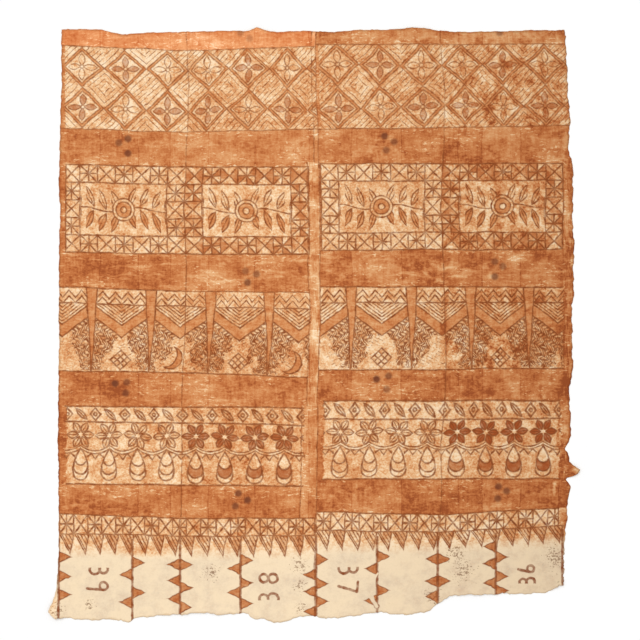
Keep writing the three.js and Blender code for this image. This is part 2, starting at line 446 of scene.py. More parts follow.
class Places:  # where a point lies on the cloth and in its design
    def __init__(self, brush):
        self.brush = brush
        self.ground = brush.node("ShaderNodeTexCoord", {}, {}).outputs["Object"]
        maps = [{"uv_map": name} for name in ("design", "rim")]
        design, rim = [brush.node("ShaderNodeUVMap", uvMap, {}).outputs["UV"] for uvMap in maps]
        slow = brush.noise(self.ground, 7.0, 2.0, out="Color"), 0.014  # metres that a drawn line wanders
        quick = brush.noise(self.ground, 55.0, 1.0, out="Color"), 0.0042
        self.u, self.v = brush.split(self.wandering(design, slow, quick))
        self.drawnSpot = self.wandering(self.ground, quick)
        self.x, self.y = brush.split(self.drawnSpot)
        self.onRight = self.u > seamOfDesign
        self.across = self.u - leftOfDesign - self.onRight * (seamOfDesign - leftOfDesign)
        self.second = self.across > panelWidth  # the second panel of each half
        self.fromEdge = brush.split(rim)[0] * (1 / milli)

    def wandering(self, place, *wanders):  # in millimetres
        shift = 0
        for noise, reach in wanders:
            place = self.brush.vector("MULTIPLY_ADD", noise, (reach, reach, 0), place)
            shift -= reach / 2 / milli
        return self.brush.vector("MULTIPLY_ADD", place, (1 / milli,) * 3, (shift, shift, 0))

    def either(self, left, right):  # a value in the left half of the cloth and in the right half
        return self.onRight * (right - left) + left

    def uneven(self, scale, detail=2.0):  # about nought
        return self.brush.noise(self.ground, scale, detail) - 0.5


away = 50  # added to the distance from a line, it leaves the line out
diagonal = 0.7  # turns a step across a sloping line into the distance from it


def rowPlace(at, name):  # depth below the head of a row, its height, and the way out past its rails
    head, foot = even[name + "Head"], even[name + "Foot"]
    depth, height = head - at.v, head - foot
    return depth, height, abs(depth - height / 2) - height / 2


def leafShape(along, across, middle, halfLong, halfWide):  # below nought inside a pointed leaf
    share = (along - middle) / halfLong
    return share * share * halfWide + across - halfWide


def panelWash(at, washes):
    first, second, third, fourth = washes
    return at.either(at.second * (second - first) + first, at.second * (fourth - third) + third)


# What most rows share
anyRow = {
    "band": 0.85,  # rust of the plain band above or below the row
    # how strongly painted shade darkens the colour along the torn edge
    "edgeWear": 0.9,
    "blotch": 1.0,  # of the last panel, the most worn
    "drag": 0.14,  # pale streaks rubbed along the plain bands
}

# Row one: a lattice of lozenges with four-petal flowers
lozengeRow = {
    **anyRow,
    "cell": 165,
    "down": 165.5,
    "rim": 15,
    "sway": 34,
    "margin": 13,
    "petal": (31, 25, 12),  # middle, half length and half width
    "eye": 8,
    "hatch": 23,
    "nest": 30,
    "wash": (0.28, 0.42, 0.44, 0.5),  # rust rubbed over each of the four panels, from the left
    "band": 0.79,
    "seamFrom": 1008,  # the plain strip beside the seam, from the left of the half
    "seamWear": 0.4,
    "lineHalf": 2.4,
    "ink": 0.64,
}


def drawLozenges(brush, at, row):
    depth, _, rails = rowPlace(at, "rowOne")
    cell, down = row["cell"], row["down"]
    sway = brush.split(brush.noise(at.ground, 4.5, 2.0, out="Color"))
    panelAcross = at.across - at.second * panelWidth + (sway[0] - 0.5) * row["sway"]
    drawnDepth = depth + (sway[1] - 0.5) * row["sway"]
    x, y = panelAcross.repeat(cell), drawnDepth.repeat(down)
    odd = (panelAcross // cell + drawnDepth // down) % 2
    ax, ay = abs(x), abs(y)
    reach = ax + ay
    rim = down / 2
    petal = leafShape(clipped(ax, ay), nearest(ax, ay), *row["petal"])
    fromEye = radius(x, y) - row["eye"]
    hatch = abs((x + y).repeat(row["hatch"])) + odd * away
    nest = abs(reach.repeat(row["nest"])) + (1 - odd) * away
    lines = nearest(
        abs(reach - rim) * diagonal,
        abs(reach - rim + row["rim"]) * diagonal,
        abs(petal),
        abs(fromEye),
        clipped(nearest(hatch, nest), rim + 2 - reach),
    )
    walls = clipped(rails, row["margin"] - at.across)
    return {
        "lines": nearest(clipped(lines, walls), abs(rails)),
        "walls": walls,
        "wash": panelWash(at, row["wash"]),
        "rust": between(reach, rim - row["rim"], rim, 2),
        "fill": below(petal, 0, 2) & odd & (fromEye > 0) * 0.6,
        "orange": (depth < 0) & (1 - at.onRight),
    }


# Row two: square frames with crosses and stars, and a leaf garland in each
frameRow = {
    **anyRow,
    "cell": 69.7,
    "down": 70,
    "columns": 7,
    "lines": 5,
    "start": 6,
    "leftCut": 12,  # the first column is narrower in the left half
    "panelStep": 488,
    "head": 6,
    "stem": (36, 9),  # how it waves
    "leafPitch": 50,
    "leafLean": (0.4, 0.92),
    "leaf": (48, 41, 13),
    "rings": (44, 31, 12),
    "wash": (0.37, 0.44, 0.36, 0.58),
    "band": 0.83,
    "seamFrom": 978,
    "seamWear": 0.5,
    "drag": 0.25,
    "lineHalf": 2.9,
    "ink": 0.78,
}


def drawFrames(brush, at, row):
    depth = even["rowTwoHead"] - at.v - row["head"]
    across = at.across - at.second * row["panelStep"] - row["start"]
    cell, down = row["cell"], row["down"]
    halfWide, halfHigh = cell * row["columns"] / 2, down * row["lines"] / 2
    fromMiddle, fromLevel = across - halfWide, depth - halfHigh
    leftCut = row["leftCut"] - across - (at.onRight | at.second) * away
    walls = clipped(abs(fromMiddle) - halfWide, abs(fromLevel) - halfHigh, leftCut)
    inner = clipped(abs(fromMiddle) - halfWide + cell, abs(fromLevel) - halfHigh + down)
    column, line = across // cell, depth // down
    lastColumn, lastLine = row["columns"] - 1, row["lines"] - 1
    atSides = abs(column - lastColumn / 2) > lastColumn / 2 - 0.5
    inMiddleRows = abs(line - lastLine / 2) < lastLine / 2 - 0.5
    inFrame = atSides | (1 - inMiddleRows)
    odd = (column + line) % 2
    offX, offY = across.repeat(cell), depth.repeat(down)
    x, y = abs(offX), abs(offY)
    star = nearest(x, y) + (1 - odd) * away
    edges = cell / 2 - clipped(x, y)
    squares = nearest(abs(x - y) * diagonal, star, edges) + (1 - inFrame) * away
    stemLength, stemSway = row["stem"]
    rise = abs(brush.math("SINE", fromMiddle / stemLength) * stemSway + fromLevel)
    slant = abs(fromMiddle).repeat(row["leafPitch"])
    leanAcross, leanUp = row["leafLean"]
    rib = abs(slant * leanUp - rise * leanAcross + 8)
    leaf = leafShape(slant * leanAcross + rise * leanUp, rib, *row["leaf"])
    roundel = radius(fromMiddle, fromLevel)
    outerRing, midRing, eye = row["rings"]
    rings = nearest(*[abs(roundel - ring) for ring in row["rings"]])
    leaves = nearest(abs(leaf), clipped(rib + 1, leaf), rise)
    garland = nearest(clipped(leaves, outerRing + 4 - roundel), rings)
    lines = nearest(squares, clipped(garland, inner + 6), abs(inner))
    standing = atSides & inMiddleRows  # hourglasses in the sides of the frame
    wedges = abs((x > y) - odd * (offX * offY > 0) - (1 - odd) * standing)  # every other wedge of a square
    patch = steep(at.uneven(11.0, 1.0), 5.0, 0.75)
    wedges = wedges & patch & at.second & inFrame
    rust = below(leaf, 0, 2) & (fromLevel > 0) & below(inner, -6, 2) & (roundel > outerRing)
    return {
        "lines": nearest(clipped(lines, walls), abs(walls)),
        "walls": walls,
        "wash": panelWash(at, row["wash"]) + (1 - inFrame) * (0.04 - at.second * 0.12),
        "rust": rust | between(roundel, eye, midRing, 2) | wedges,
        "fill": wedges * 0.3,
    }


# Row three: tapers with chevrons between them, ferns, and small lattices or crescents at the foot
taperRow = {
    **anyRow,
    "first": 124,
    "pitch": (233.6, 239),  # in the left half and in the right half
    "halfWidth": 22,
    "narrowing": 0.064,
    "end": 984,
    "strip": 62,
    "tooth": 50,
    "toothSlope": 1.13,
    "zigzag": (12, 34),
    "slope": 0.77,
    "square": 0.8,  # turns depth into the distance from a chevron
    "chevron": (147, 195),
    "nest": (62, 141, 14),
    "frond": 21,  # rows of leaves, one below the other
    "lean": 0.8,
    "leaf": (12.5, 5.6),  # pitch and half width
    "fernReach": 96,
    "fernLevel": 190,
    "lastTaper": 850,  # ferns fill the far end past here
    "stray": 13,
    "lattice": (284, 39, 26),
    "crescent": (444, 468, 272),  # first, pitch and level
    "moon": (44, 50, 27, 13),  # radius, then radius and place of what is cut from it
    "wash": (0.36, 0.36, 0.29, 0.5),
    "seamFrom": 982,
    "seamWear": 0.55,
    "drag": 0.16,
    "lineHalf": 3.0,
    "ink": 0.8,
}


def drawFerns(brush, at, row, depth, under, nearTaper, fromMiddle):  # below the chevrons
    ruffle = brush.split(brush.noise(at.ground, 26.0, 2.0, out="Color"))
    sway = clipped(under, 0) * 0.22 + 8
    tier = under + (ruffle[0] - 0.5) * sway
    frond = tier.repeat(row["frond"])
    lean = (tier // row["frond"] % 2) * 2 * row["lean"] - row["lean"]  # each row the other way
    leafPitch, leafHalf = row["leaf"]
    slant = fromMiddle + (ruffle[1] - 0.5) * sway + frond * lean
    leaf = brush.math("MULTIPLY_ADD", frond * frond, -0.03, leafHalf) - abs(slant.repeat(leafPitch))
    reach = nearTaper - row["fernReach"] + (depth - row["fernLevel"]) * 0.45 + at.uneven(18.0) * 130
    reach = reach - below(row["lastTaper"] - at.across, 0, 40) * at.onRight * 70
    faint = brush.noise(at.ground, 60.0, 2.0) * 5 - 1.7  # parts of the ferns have not taken the dye
    fern = clipped(leaf + faint, reach + faint * 4)
    stray = abs((fromMiddle * 0.5 + depth).repeat(row["stray"])) * row["square"]
    return fern, stray + abs(ruffle[0] - 0.52) * 40 + 1.8, reach


def drawTapers(brush, at, row):
    depth, height, rails = rowPlace(at, "rowThree")
    pitch = at.either(*row["pitch"])
    fromFirst = at.across - row["first"]
    oddGap = (fromFirst // pitch) % 2
    nearTaper = abs((fromFirst + pitch / 2).repeat(pitch))
    fromMiddle = pitch / 2 - nearTaper
    edge = nearTaper - (row["halfWidth"] - depth * row["narrowing"])
    strip, square = row["strip"], row["square"]
    inStrip, belowStrip = depth < strip, depth > strip
    zigzag = depth - abs(fromMiddle.repeat(row["tooth"])) * row["toothSlope"]
    zigHead, zigFoot = row["zigzag"]
    teeth = nearest(abs(zigzag - zigHead), abs(zigzag - zigFoot)) * diagonal
    teeth = clipped(teeth, depth - strip, 3 - edge)
    bend = depth + fromMiddle * row["slope"]
    upper, lower = row["chevron"]
    nestFrom, nestTo, nestStep = row["nest"]
    nested = abs((bend - nestTo).repeat(nestStep)) * square + 0.7
    nested = clipped(nested, nestFrom - bend, bend - nestTo)
    chevron = nearest(abs(bend - upper) * square, abs(bend - lower) * square, nested)
    chevron = clipped(chevron, strip - depth, 3 - edge)
    level, half, mesh = row["lattice"]
    drop = depth - level
    lozenge = fromMiddle + abs(drop) - half
    lattice = [abs((fromMiddle + way * drop).repeat(mesh)) for way in (1, -1)]
    lattice = nearest(*lattice, abs(lozenge)) * diagonal
    lattice = clipped(lattice, lozenge - 2) + oddGap * away
    moonFirst, moonPitch, moonLevel = row["crescent"]
    along = at.across - moonFirst + moonPitch / 2
    moonX, moonY = along.repeat(moonPitch), depth - moonLevel
    moonRadius, cutRadius, cutX, cutY = row["moon"]
    moonCut = cutRadius - radius(moonX + cutX, moonY + cutY)
    moon = clipped(radius(moonX, moonY) - moonRadius, moonCut)
    moon = moon + (at.onRight + (along < 0)) * 80
    under = bend - lower
    fern, stray, reach = drawFerns(brush, at, row, depth, under, nearTaper, fromMiddle)
    fern = clipped(fern, 5 - under, 5 - edge, depth - height + 10)
    stray = clipped(stray, 12 - under, 8 - edge, depth - height + 6)
    ferns = clipped(nearest(fern, stray), 8 - moon, 8 - lozenge - oddGap * 200)
    tapers = clipped(abs(edge), depth - height)
    stripFoot = abs(depth - strip) + (edge < 0) * away
    lines = nearest(tapers, teeth, chevron, lattice, abs(moon), ferns, stripFoot)
    walls = clipped(rails, at.across - row["end"])
    lines = nearest(clipped(lines, walls), abs(rails) + (walls > rails) * away)
    rust = below(edge, 0, 2) | below(moon, 0, 2)
    rust = rust | (between(bend, upper, lower, 2) & belowStrip)
    rust = rust | (between(zigzag, zigHead, zigFoot, 3) & inStrip * 0.2)
    rust = rust | (below(bend, (nestFrom + nestTo) / 2, 40) & belowStrip * 0.25)
    lowSecond = at.second & below(200 - depth, 0, 60) & (1 - at.onRight * 0.7)
    dulled = inStrip & at.second & (1 - at.onRight)
    inFern = below(reach, 0, 20) & below(0 - under, 0, 3)
    wash = panelWash(at, row["wash"]) + lowSecond * 0.18 + dulled * 0.05 + inFern * 0.04
    return {
        "lines": lines + dulled * 0.9,
        "walls": walls,
        "wash": wash + inStrip * at.onRight * 0.08,
        "rust": rust,
    }


# Row four: a leaf strip, six-petal flowers, swags with teeth, and drops
flowerRow = {
    **anyRow,
    "first": (84, 90),  # first flower in the left half and in the right half
    "pitch": 116,
    "start": 26,
    "end": 968,
    "sideSway": 34,
    "strip": 64,
    "stripCell": 58.5,
    "sprig": (0, 31, 10),
    "flowerLevel": 117,
    "petal": (32, 23, 12.5),
    "eye": 7,
    "swagLevel": 158,
    "sag": 21,
    "swagWidth": 11,
    "tooth": 33,
    "toothSlope": 0.62,
    "dropTop": 170,
    "dropLevel": 264,
    "dropRadius": 31,
    "upperMoon": (49, 22, 41),  # its middle's height in the drop, radius, and where it is cut off
    "lowerMoon": (20, 29, 14),
    "filledFrom": 490,
    "wash": (0.4, 0.5, 0.37, 0.4),
    "seamFrom": 962,
    "seamWear": 0.3,
    "blotch": 0.25,
    "lineHalf": 3.5,
    "ink": 0.76,
}


def drawStrip(at, row, depth):  # lozenges and leaves in turn
    cell = row["stripCell"]
    x, y = at.across.repeat(cell), depth - row["strip"] / 2
    odd = (at.across // cell) % 2
    lozenge = abs(abs(x) + abs(y) * 0.85 - 21) * 0.75
    eye = abs(radius(x, y) - 6)
    rib = abs(x - y) * diagonal
    sprig = leafShape((x + y) * diagonal, rib, *row["sprig"])
    sprig = nearest(abs(sprig), clipped(rib + 1, sprig))
    return nearest(nearest(lozenge, eye) + odd * away, sprig + (1 - odd) * away)


def drawFlowers(brush, at, row):
    depth, _, rails = rowPlace(at, "rowFour")
    pitch, half, strip = row["pitch"], row["pitch"] / 2, row["strip"]
    run = at.across - at.either(*row["first"]) + half
    side = run.repeat(pitch)
    fromSide = abs(side)
    flowerCount = run // pitch + at.onRight * 8
    fall = depth - row["flowerLevel"]
    reach = radius(side, fall)
    sixth = math.pi / 3
    twist = brush.math("SINE", flowerCount * 2.3) * 0.14 + sixth / 2
    turn = (brush.math("ARCTAN2", fall, side) + twist).repeat(sixth)
    along, across = reach * brush.math("COSINE", turn), abs(reach * brush.math("SINE", turn))
    petal = leafShape(along, across, *row["petal"])
    vein = clipped(across + 1.5, petal + 6)
    flower = clipped(nearest(abs(petal), vein), 11 - reach)
    slack = 1 - fromSide / half
    swag = depth - row["swagLevel"] - row["sag"] + slack * slack * row["sag"]
    tooth, slope, swagWidth = row["tooth"], row["toothSlope"], row["swagWidth"]
    fromPoint = abs((half - fromSide + tooth / 2).repeat(tooth))
    teeth = abs(swag - swagWidth - tooth * slope + fromPoint * 2 * slope) * slope
    swags = nearest(abs(swag), abs(swag - swagWidth), clipped(teeth, 26 - fromSide)) + 0.6
    dropRadius, rise = row["dropRadius"], row["dropLevel"] - row["dropTop"]
    level = at.onRight * 8 + at.second * (1 - at.onRight) * 10 + row["dropLevel"]
    sink = depth - level
    flankMiddle = (rise**2 - dropRadius**2) / (2 * dropRadius)  # of the arc from the tip to the widest place
    flank = radius(fromSide + flankMiddle, sink) - flankMiddle - dropRadius
    inDrop = nearest(clipped(flank, sink), radius(side, sink) - dropRadius)
    moons, moonLines = [], []
    for lift, moonRadius, cut in (row["upperMoon"], row["lowerMoon"]):
        moons.append(radius(side, sink + lift) - moonRadius)
        moonLines.append(clipped(abs(moons[-1]), -cut - sink))
    upperMoon, lowerMoon = moons
    drops = nearest(abs(inDrop), clipped(nearest(*moonLines), inDrop))
    field = clipped(nearest(flower, drops, clipped(swags, 2 - inDrop)), strip - depth)
    stripLines = clipped(drawStrip(at, row, depth), depth - strip)
    lines = nearest(stripLines, field, abs(depth - strip))
    wide = (row["end"] - row["start"]) / 2
    sides = abs(at.across - row["start"] - wide) - wide + at.uneven(30.0) * row["sideSway"]
    walls = clipped(rails, sides)
    moonFill = (below(lowerMoon, 0, 2) | (sink < -20)) & (upperMoon > 0)
    moonFill = moonFill & below(inDrop, 0, 2) & (sink > -46)
    dyedMoon = moonFill & (brush.math("COSINE", (flowerCount - 6) * 0.7) * 0.3 + 0.6)
    petalFill = below(petal, 0, 2) & (reach > row["eye"]) & (depth > strip)
    dark = at.across > row["filledFrom"]
    paler = below(inDrop, 0, 4) * 0.16 + between(swag, 0, swagWidth, 2) * 0.12
    paler = paler + below(reach, row["eye"], 3) * 0.2 + (depth < strip) * (1 - at.second) * 0.1
    return {
        "lines": nearest(clipped(lines, walls), clipped(abs(rails), sides)),
        "walls": walls,
        "wash": panelWash(at, row["wash"]) - nearest(paler, 0.2),
        "fill": (petalFill | dyedMoon) & dark * (at.onRight * 0.25 + 0.86),
        "rust": moonFill * (dark * 0.4 + 0.2),
    }


# Foot: squares with crosses and stars, hatched teeth, and a bare border with uprights and darts
hemRow = {
    **anyRow,
    "cell": 57.5,
    "tooth": 61.5,
    "tip": 46,
    "hatch": 14.5,
    "end": (1021, 964),  # in the left half and in the right half
    "uprights": (-1021, -727, -536, -295, 7, 251, 493, 725, 991),
    "uprightHalf": 2.2,
    "dart": (48, 24),
    "dartSway": 17,
    "numberHalf": 2.4,
    "tuck": (((252, -992), (238, -1016), 3), ((220, -1072), (249, -1122), 10)),  # ends, half width
    "tuckShade": -1092,  # painted shade darkens its edge below here
    "wash": (0.34, 0.42, 0.3, 0.34),
    "seamFrom": 962,
    "seamWear": 0.1,
    # weaker painted shade along the torn edge of the hem
    "edgeWear": 0.5,
    "blotch": 0.6,
    "lineHalf": 2.9,
    "ink": 0.8,
}
# x of the upright, then y of the darts to its right and to its left
darts = [
    (-1021, (-926, -1003, -1076), ()),
    (-727, (-948, -1068), (-996, -1106)),
    (-536, (-956, -1048, -1127), (-956, -1020, -1092)),
    (-295, (-940, -1030, -1112), (-972, -1068)),
    (7, (-936, -1032, -1104), (-996, -1064, -1144)),
    (251, (-923, -1059), (-972, -1100)),
    (493, (-934, -1022), (-934, -1022, -1083)),
    (725, (-926, -1003, -1060), (-884, -952, -1030)),
]


def drawDarts(at, row):
    long, half = row["dart"]
    ragged = at.uneven(40.0) * row["dartSway"]
    shapes = []
    for x, rights, lefts in darts:
        for way, heights in ((1, rights), (-1, lefts)):
            if heights:
                out = (at.x - x) * way
                rise = nearest(*[abs(at.y - height) for height in heights])
                shapes.append(clipped(rise + out * (half / long) - half + ragged, 0 - out))
    return nearest(*shapes)


# x, y of a section number's middle, the way its tops point (1 to the right, -1 to the left),
# half the gap between its digits, and its size against a digit of 60 mm
numberPlaces = [
    (-859, -1008, 1, 34, 1.2),
    (-183, -1052, -1, 41, 1.25),
    (137, -1008, 1, 37, 1.25),
    (849, -1000, -1, 27, 1.0),
]


def drawNumbers(brush, at):
    digits = []
    for i, (x, y, way, gap, size) in enumerate(numberPlaces):
        rise = (at.x - x) * (way / size)  # up the digit
        run = (y - at.y) * (way / size)  # along the number
        three, unit = run + gap / size, run - gap / size
        spot = brush.node("ShaderNodeCombineXYZ", {}, {0: unit, 1: rise}).outputs[0]
        upperBow = clipped(abs(radius(three, rise - 15) - 14), 0 - three)
        lowerBow = clipped(abs(radius(three, rise + 15) - 17), 0 - three)
        head, foot = abs(radius(unit, rise - 15) - 13), abs(radius(unit, rise + 15) - 14)
        other = [
            nearest(head, brush.segment(spot, (13, 16), (8, -40))),
            nearest(head, foot),
            nearest(brush.segment(spot, (-16, 30), (16, 27)), brush.segment(spot, (16, 27), (-2, -32))),
            nearest(foot, brush.segment(spot, (-13, -12), (-2, 34))),
        ][i]
        digits.append(nearest(upperBow, lowerBow, other) * size)
    return nearest(*digits)


def drawHem(brush, at, row):
    depth, height, rails = rowPlace(at, "squares")
    cell = row["cell"]
    x, y = abs(at.across.repeat(cell)), abs(depth - height / 2) * (cell / height)
    odd = (at.across // cell) % 2
    squares = nearest(abs(x - y) * diagonal, nearest(x, y) + odd * away, cell / 2 - x)
    pastEnd = at.across - at.either(*row["end"])
    walls = clipped(rails, pastEnd)
    squares = nearest(clipped(squares, walls), abs(walls))

    # hatched teeth that hang from the squares
    hang = depth - height
    toothDepth = even["squaresFoot"] - even["teethTips"]
    tooth, tip = row["tooth"] - 3, row["tip"]
    along = at.across % row["tooth"]
    leftSide = hang * (tip / toothDepth) - along
    rightSide = along - tooth + hang * ((tooth - tip) / toothDepth)
    inTooth = clipped(leftSide, rightSide, 0 - hang, pastEnd - 20)
    hatch = abs((leftSide + 1).repeat(row["hatch"])) * 0.85
    teeth = nearest(abs(inTooth), clipped(hatch + 0.5, inTooth))
    patch = steep(at.uneven(7.0, 1.0), 7.0, 0.5)

    # the border below them
    dart = drawDarts(at, row)
    uprights = nearest(*[abs(at.x - upright) for upright in row["uprights"]])
    uprights = clipped(uprights - row["uprightHalf"], 20 - hang)
    numbers = drawNumbers(brush, at) - row["numberHalf"]
    lines = nearest(squares, teeth, uprights, numbers, abs(dart) + 0.5)
    # painted highlight and shade of the tuck: it is kept clear of lines and darts, and a dark line along its
    # lower edge is painted shade
    tuck = nearest(*[brush.segment(at.drawnSpot, a, b) - half for a, b, half in row["tuck"]])
    inTuck = below(tuck, 0, 3)
    tuckShadeLine = abs(tuck) + (at.y > row["tuckShade"]) * away + 1.2
    border = depth > height
    dyed = below(dart, 0, 2) & border & (1 - inTuck)
    dyedTooth = below(inTooth, 0, 2)
    smear = below(hang, toothDepth * 0.9, 60)
    return {
        # the lines also carry the painted shade along the tuck's edge
        "lines": nearest(lines + inTuck * away, tuckShadeLine),
        "walls": 0 - depth,
        "wash": panelWash(at, row["wash"]) * (1 - border) + border * (smear * 0.26 + 0.04),
        "rust": dyed | (dyedTooth * (patch * 0.4 + 0.12)),
        "fill": (dyedTooth & patch * 0.25) | (dyed * 0.5),
        "bare": border * (1 - smear),
    }


# x, y of the dots in each zone of the design, and how dark each is
dots = [
    [
        (-744, 745, 0.85), (-781, 728, 0.7), (-744, 686, 0.85), (281, 755, 0.85), (319, 732, 0.65),
        (287, 699, 0.65), (-295, 1168, 0.4), (-259, 1145, 0.35), (741, 1168, 0.6),
    ],
    [
        (-275, 216, 0.55), (-231, 204, 0.7), (-267, 170, 0.85), (721, 254, 0.7), (753, 235, 0.65),
        (721, 194, 0.8),
    ],
    [
        (-795, -234, 1), (-749, -228, 0.75), (-753, -271, 0.8), (249, -216, 1), (297, -203, 0.75),
        (289, -256, 0.6),
    ],
    [
        (-303, -672, 0.9), (-267, -699, 0.9), (-315, -723, 0.8), (736, -644, 0.8), (768, -662, 0.8),
        (733, -692, 0.8),
    ],
    [],
]
dotRadius = 14

# x, y and reach of the places where dirt has gathered in the border
dirtPlaces = [
    (-59, -960, 60), (-57, -1040, 50), (-55, -1128, 46), (-895, -1118, 45), (-411, -988, 60),
    (-1027, -1140, 60), (565, -908, 84), (597, -984, 84), (965, -930, 90), (470, -1080, 60),
]

# x, y, half width, half height of a stain in each zone, and how much rust it adds or has lost
stains = [
    [
        (865, 700, 110, 26, 0.12), (605, 1156, 420, 40, -0.14), (800, 1150, 260, 40, -0.1),
        (-520, 1056, 500, 44, -0.1), (-385, 1052, 130, 44, -0.14), (870, 1052, 130, 44, 0.09),
        (1003, 718, 14, 60, -0.2), (-32, 940, 14, 170, 0.12),
    ],
    [
        (925, 600, 60, 40, 0.15), (585, 220, 150, 30, -0.12), (513, 172, 26, 16, -0.5),
        (-50, 215, 18, 30, 0.15), (-770, 215, 260, 70, 0.08), (270, 215, 240, 60, -0.07),
        (1006, 470, 16, 170, -0.2), (995, 215, 44, 62, 0.16), (-870, 320, 140, 40, 0.09),
        (-164, 325, 110, 34, -0.09), (155, 325, 112, 34, 0.09),
    ],
    [
        (925, 112, 70, 34, 0.2), (517, -40, 18, 160, 0.3), (445, -100, 50, 50, 0.1),
        (-975, -80, 50, 70, 0.24), (-900, -120, 100, 60, 0.12), (2, 20, 14, 76, -0.36),
        (945, -60, 70, 110, 0.12), (990, -10, 32, 180, 0.18), (1000, -240, 26, 56, 0.18),
        (640, -120, 110, 56, -0.14), (-770, -250, 260, 50, 0.06),
    ],
    [
        (145, -660, 120, 28, -0.1), (-115, -712, 60, 26, -0.12), (-935, -712, 70, 26, -0.1),
        (-300, -690, 240, 50, 0.1), (1054, -580, 26, 30, -0.32), (1000, -372, 26, 56, -0.22),
        (974, -440, 8, 90, 0.3), (1000, -450, 16, 60, -0.16), (959, -645, 8, 30, -0.5),
        (-998, -450, 26, 80, 0.16), (-26, -695, 44, 62, 0.2), (155, -565, 120, 56, 0.2),
        (380, -565, 100, 50, 0.1), (-265, -575, 240, 56, 0.05), (740, -570, 230, 56, 0.13),
        (740, -352, 250, 34, 0.13), (749, -728, 90, 20, -0.16), (569, -684, 70, 36, 0.1),
        (380, -440, 100, 50, -0.09), (860, -440, 100, 44, 0.08),
    ],
    [
        (1000, -795, 34, 76, 0.5), (-695, -902, 120, 26, 0.4), (-1042, -1115, 24, 70, 0.14),
        (-8, -795, 26, 44, 0.16),
    ],
]

finish = {
    "lineSoft": 3.0,
    "roughness": 0.94,
    "specular": 0.1,
    "seamTo": 1040,
    "paintedShadeFrom": -50,  # painted shade: the cloth is drawn darker towards its right side, as light falls off there
    "paintedShadeReach": 1050,
    "paintedShadeDepth": (0.81, 0.79, 0.77, 1),
    "orangeTint": (1.12, 0.93, 0.86, 1),
    "edgeShadeTint": (0.66, 0.57, 0.48, 1),
}


class Grain:  # unevenness of the bark and of the dye rubbed into it
    def __init__(self, brush, ground):
        level = lambda place, *settings: brush.noise(place, *settings) - 0.5
        drawnOut = lambda place, across, along: brush.vector("MULTIPLY", place, (across, along, 1))
        self.mottle = level(ground, 8.0, 4.0, 0.6)
        self.cloud = level(ground, 28.0, 3.0, 0.6)
        self.speck = level(ground, 120.0, 3.0, 0.75)
        self.press = level(ground, 40.0, 3.0, 0.65)  # of the brush along a line
        drift = brush.noise(ground, 9.0, 2.0, out="Color")
        drift = brush.vector("MULTIPLY_ADD", drift, (0.012, 0.036, 0), ground)
        self.rub = level(drawnOut(drift, 46, 125), 1.0, 3.0, 0.6)
        self.streak = level(drawnOut(ground, 110, 13), 1.0, 3.0, 0.6)
        self.sweep = level(drawnOut(ground, 6, 10), 1.0, 1.0)
        drag = level(drawnOut(drift, 9, 58), 1.0, 2.0, 0.6)
        self.drag = steep(drag + self.sweep * 0.4, 6.0, -0.2)


def grainBump(brush, ground):
    fibre = brush.noise(brush.vector("MULTIPLY", ground, (60, 260, 60)), 1.0, 3.0)
    crumple = brush.noise(ground, 34.0, 3.0, 0.6)
    sockets = {"Strength": 0.55, "Distance": 0.0022, "Height": fibre * 0.35 + crumple * 0.9}
    return brush.node("ShaderNodeBump", {}, sockets).outputs[0]


def closeMaterial(brush, colour, roughness, specular, sockets):
    sockets = {"Base Color": colour, "Roughness": roughness, "Specular IOR Level": specular, **sockets}
    shader = brush.node("ShaderNodeBsdfPrincipled", {}, sockets)
    brush.node("ShaderNodeOutputMaterial", {}, {"Surface": shader.outputs[0]})
    return brush.material


def closeBark(brush, colour, ground):
    sockets = {"Normal": grainBump(brush, ground)}
    return closeMaterial(brush, colour, finish["roughness"], finish["specular"], sockets)


def bandRust(brush, at, grain, coat, row, walls):  # rust of the plain bands
    barPlace = {"W": at.x * 0.0058 + grain.mottle * 0.12, "Scale": 1.0}
    barKind = {"voronoi_dimensions": "1D"}
    bar = brush.node("ShaderNodeTexVoronoi", barKind, barPlace)
    barTone = brush.split(bar.outputs["Color"])[0] - 0.5
    barKind["feature"] = "DISTANCE_TO_EDGE"
    barEdge = brush.node("ShaderNodeTexVoronoi", barKind, barPlace).outputs["Distance"]
    barLine = below(Mark(brush, barEdge), 0.01, 0.016)
    wear = below(walls, 16, 26)
    cluster = steep(grain.sweep + grain.cloud * 0.9 + wear * 0.16, 7.0, 0.05)
    fleck = steep(grain.rub + grain.speck * 0.4, 7.0, -0.15) & cluster
    dye = row["band"] - grain.sweep * 0.25 + (barTone + barLine) * 0.13 + grain.cloud * 0.8
    dye = dye + coat - fleck * 0.62
    atSeam = between(at.across, row["seamFrom"], finish["seamTo"], 5)
    worn = steep(grain.streak + grain.mottle * 0.7, 6.0, 0.35)
    return dye + atSeam * (grain.streak * 1.3 - worn * row["seamWear"] + at.onRight * 0.2)


def paintBorder(brush, at, grain, bare, colour):  # bare bark with dirt in places
    haze = steep(grain.mottle + grain.cloud * 0.6, 3.2, 0.32)
    bark = brush.mix(haze, dyes["border"], dyes["cloud"])
    colour = brush.mix(bare * (grain.speck * 1.2 + 0.8), colour, bark)
    near = [brush.distance(at.drawnSpot, x, y) / reach for x, y, reach in dirtPlaces]
    dirty = below(nearest(*near), 0.6, 0.8) * 0.25
    dirt = steep(grain.speck + dirty + grain.rub * 0.5, 14.0, -3.4)
    return brush.mix(dirt * 0.7, colour, dyes["dirt"])


dyeStops = [
    (0.0, dyes["bareBark"]),
    (0.2, dyes["cream"]),
    (0.46, dyes["tan"]),
    (0.72, dyes["rust"]),
    (0.88, dyes["deepRust"]),
    (1.0, dyes["burntRust"]),
]


